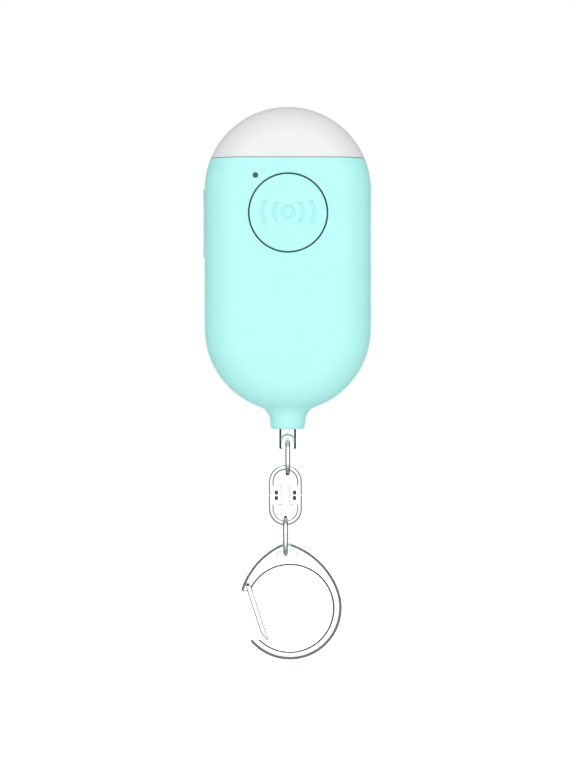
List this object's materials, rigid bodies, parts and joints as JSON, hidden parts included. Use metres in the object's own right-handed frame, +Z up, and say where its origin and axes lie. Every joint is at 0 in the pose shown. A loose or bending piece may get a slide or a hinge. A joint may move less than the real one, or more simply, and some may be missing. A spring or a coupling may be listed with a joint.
{
  "type": "personal safety alarm",
  "caption": "Pebble-shaped hand alarm with a lamp dome, a round alarm button, a covered charging socket, and a pull pin on a short chain with a snap hook.",
  "frame": {"origin": "middle of the housing without its neck, inside the body, where a hand holds it", "axes": "+Z up through the lamp dome, -Y out of the front with the alarm button, +X to the right seen from the front"},
  "size_m": [0.0381, 0.0181, 0.1255],
  "materials": {
    "mint_shell": "satin moulded plastic",
    "mint_button": "satin moulded plastic",
    "white_diffuser": "milky satin diffuser",
    "white_silicone": "matt silicone",
    "smoked_lens": "smoked",
    "chrome_plate": "polished nickel chrome",
    "steel": "plain",
    "dark_steel": "blackened",
    "socket_steel": "stamped",
    "black_plastic": "moulded",
    "white_plastic": "moulded",
    "led_package": "phosphor filled",
    "circuit_board": "solder mask",
    "ferrite": "sintered",
    "battery_foil": "laminated foil",
    "foam_tape": "foam",
    "wire_insulation": "extruded",
    "brass": "stamped",
    "acetal": "turned",
    "seal_rubber": "moulded",
    "mesh_cloth": "woven"
  },
  "bodies": {
    "housing": {"front_shell": "mint_shell", "rear_shell": "mint_shell", "dome_lens": "white_diffuser", "lamp_board": "circuit_board", "lamp_leds": "led_package", "lamp_reflector": "white_plastic", "button_seal": "seal_rubber", "button_switch": "black_plastic", "indicator_light_pipe": "smoked_lens", "indicator_led": "led_package", "main_board": "circuit_board", "controller_chip": "black_plastic", "siren_transformer": "black_plastic", "charge_inductor": "ferrite", "battery": "battery_foil", "battery_tape": "foam_tape", "battery_leads": "wire_insulation", "siren_ring": "black_plastic", "piezo_disc": "brass", "siren_leads": "wire_insulation", "sound_mesh": "mesh_cloth", "charging_socket": "socket_steel", "charging_tongue": "black_plastic", "port_cover_anchor": "white_silicone", "shell_screws": "steel", "pin_bushing": "acetal", "pin_seal_ring": "seal_rubber", "pin_contacts": "brass"},
    "button": {"alarm_button": "mint_button", "switch_plunger": "black_plastic"},
    "side_cover": {"port_cover": "white_silicone"},
    "pin": {"pull_pin": "chrome_plate"},
    "upper_link": {"upper_chain_link": "chrome_plate"},
    "connector_link": {"connector_link_upper": "chrome_plate", "connector_link_lower": "chrome_plate", "connector_rivets": "steel", "connector_lock_pins": "dark_steel"},
    "lower_link": {"lower_chain_link": "chrome_plate"},
    "hook": {"snap_hook": "chrome_plate", "gate_pivot_pin": "dark_steel", "gate_spring": "steel"},
    "gate": {"hook_gate": "chrome_plate"}
  },
  "joints": [
    {"name": "button_press", "type": "slide", "parent": "housing", "child": "button", "axis": [0, 1, 0], "range_m": [0, 0.0006], "stiffness_N_per_m": 2500, "springref_m": -0.0004},
    {"name": "cover_open", "type": "hinge", "parent": "housing", "child": "side_cover", "pos_m": [-0.01922, 0.00133, 0.01348], "axis": [0, 1, 0], "range_deg": [0, 100], "stiffness_Nm_per_rad": 0.0008, "springref_deg": -5.73},
    {"name": "pin_pull", "type": "slide", "parent": "housing", "child": "pin", "axis": [0, 0, -1], "range_m": [0, 0.0145]},
    {"name": "upper_link_swing", "type": "hinge", "parent": "pin", "child": "upper_link", "pos_m": [0, 0, -0.04088], "axis": [0, 1, 0], "range_deg": [-75, 75]},
    {"name": "connector_swing", "type": "hinge", "parent": "upper_link", "child": "connector_link", "pos_m": [-0.00051, 0, -0.04729], "axis": [1, 0, 0], "range_deg": [-75, 75]},
    {"name": "lower_link_swing", "type": "hinge", "parent": "connector_link", "child": "lower_link", "pos_m": [-0.00051, 0, -0.05856], "axis": [0, -1, 0], "range_deg": [-75, 75]},
    {"name": "hook_swing", "type": "hinge", "parent": "lower_link", "child": "hook", "pos_m": [-0.00051, 0, -0.0641], "axis": [-1, 0, 0], "range_deg": [-60, 60]},
    {"name": "gate_open", "type": "hinge", "parent": "hook", "child": "gate", "pos_m": [-0.00903, 0, -0.0739], "axis": [0, -1, 0], "range_deg": [0, 38], "stiffness_Nm_per_rad": 0.006, "springref_deg": -28.65, "deforming": ["gate_spring"]}
  ]
}
